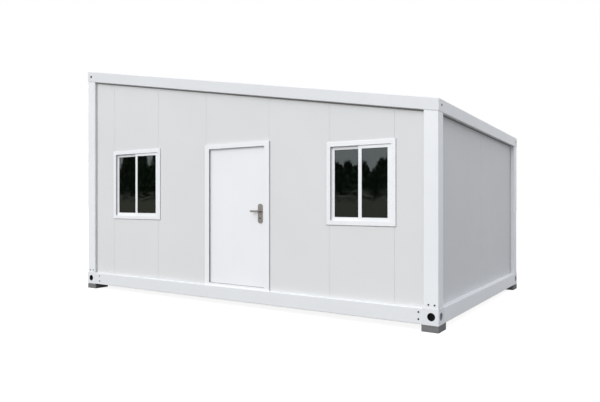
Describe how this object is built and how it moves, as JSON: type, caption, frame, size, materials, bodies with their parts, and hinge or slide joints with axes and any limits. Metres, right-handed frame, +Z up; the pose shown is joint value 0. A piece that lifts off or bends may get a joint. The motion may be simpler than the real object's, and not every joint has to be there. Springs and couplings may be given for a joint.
{
  "type": "portable site cabin",
  "caption": "Panel-walled portable site cabin with a mono-pitch roof, hinged door with lever handle, sliding windows and block feet.",
  "frame": {"origin": "on the ground under the middle of the plan", "axes": "+X along the length towards the low end of the roof, the door side faces -Y, +Z up"},
  "size_m": [6.058, 3.8532, 3.6254],
  "materials": {
    "frame_paint": "satin white paint on bent steel",
    "panel_paint": "off-white coated panel skin",
    "door_paint": "smooth white paint",
    "window_plastic": "white plastic profile",
    "window_glass": "dark tinted float glass",
    "handle_metal": "satin metal",
    "hinge_metal": "plain steel",
    "galvanised": "galvanised steel",
    "roof_paint": "coated ribbed sheet",
    "ceiling_paint": "white coated panel",
    "floor_board": "floor board",
    "foot_block": "cast grey block"
  },
  "bodies": {
    "root": {"back_wall_panels": "panel_paint", "base_rail_back": "frame_paint", "base_rail_front": "frame_paint", "base_rail_left": "frame_paint", "base_rail_right": "frame_paint", "ceiling_panel": "ceiling_paint", "corner_block_back_left": "frame_paint", "corner_block_back_right": "frame_paint", "corner_block_front_left": "frame_paint", "corner_block_front_right": "frame_paint", "corner_post_back_left": "frame_paint", "corner_post_back_right": "frame_paint", "corner_post_front_left": "frame_paint", "corner_post_front_right": "frame_paint", "door_head": "door_paint", "door_hinge_pins": "hinge_metal", "door_jambs": "door_paint", "door_threshold": "door_paint", "feet": "foot_block", "floor_deck": "floor_board", "floor_joists": "galvanised", "front_panel_left": "panel_paint", "front_panel_mid_left": "panel_paint", "front_panel_mid_right": "panel_paint", "front_panel_over_door": "panel_paint", "front_panel_right": "panel_paint", "front_panels_left_window": "panel_paint", "front_panels_right_window": "panel_paint", "left_wall_panels": "panel_paint", "left_window_frame": "window_plastic", "left_window_glass": "window_glass", "left_window_sashes": "window_plastic", "right_wall_panels": "panel_paint", "right_window_frame": "window_plastic", "right_window_glass": "window_glass", "right_window_sashes": "window_plastic", "roof_beam_back": "frame_paint", "roof_beam_front": "frame_paint", "roof_beam_left": "frame_paint", "roof_beam_right": "frame_paint", "roof_gutter": "galvanised", "roof_purlins": "galvanised", "roof_sheet": "roof_paint"},
    "door": {"door_leaf": "door_paint", "door_hinge_sleeves": "hinge_metal", "door_handle_plates": "handle_metal"},
    "lever": {"door_lever": "handle_metal"}
  },
  "joints": [
    {"name": "door_swing", "type": "hinge", "parent": "root", "child": "door", "pos_m": [-0.358, -1.8165, 1.278], "axis": [0, 0, 1], "range_deg": [0, 100]},
    {"name": "lever_turn", "type": "hinge", "parent": "door", "child": "lever", "pos_m": [0.5515, -1.848, 1.316], "axis": [0, -1, 0], "range_deg": [0, 45], "stiffness_Nm_per_rad": 2, "springref_deg": -17.19}
  ]
}
